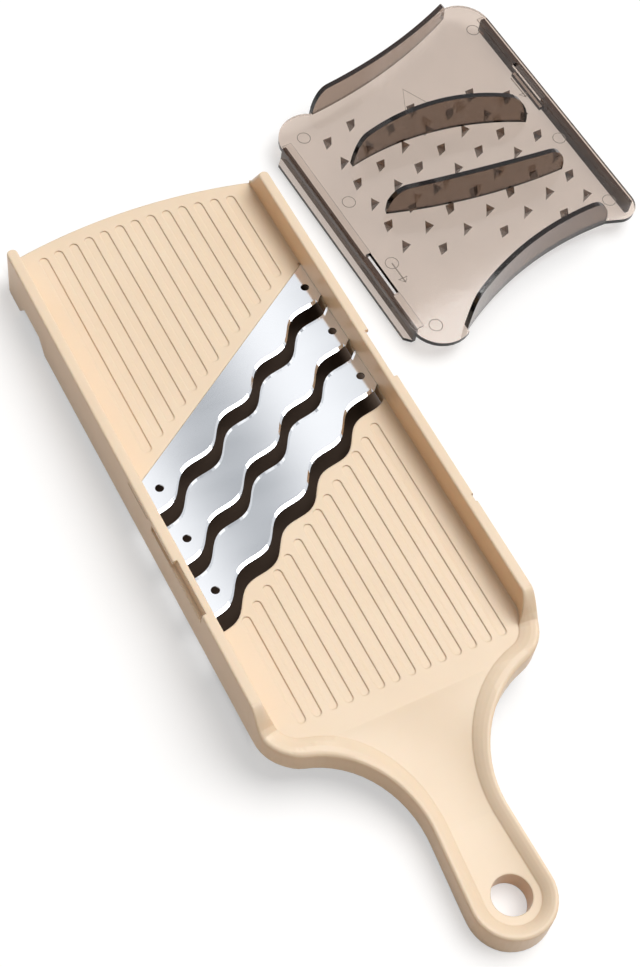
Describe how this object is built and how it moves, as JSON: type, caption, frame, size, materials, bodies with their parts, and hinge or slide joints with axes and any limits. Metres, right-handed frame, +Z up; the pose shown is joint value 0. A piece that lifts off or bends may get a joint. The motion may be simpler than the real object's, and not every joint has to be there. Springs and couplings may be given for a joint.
{
  "type": "cabbage cutter",
  "caption": "Hand cabbage cutter: moulded two-rail frame with a drooping looped handle, fixed diagonal wavy steel blades and a loose clear spiked holder with finger grips.",
  "frame": {"origin": "on the surface it stands on, on the axis of the handle's hang hole", "axes": "+Y from the handle to the far end of the table, +X to the right across the table, +Z up"},
  "size_m": [0.3074, 0.453, 0.0388],
  "materials": {
    "frame": "semi-gloss moulded",
    "blade": "polished",
    "holder": "clear smoke brown"
  },
  "bodies": {
    "cutter": {"cutter_body": "frame", "blade_far": "blade", "blade_middle": "blade", "blade_near": "blade"},
    "holder": {"safety_holder": "holder"}
  },
  "joints": [
    {"name": "holder_slide", "type": "slide", "parent": "cutter", "child": "holder", "axis": [-0.0715, 0.9974, 0], "range_m": [-0.13, 0]}
  ]
}
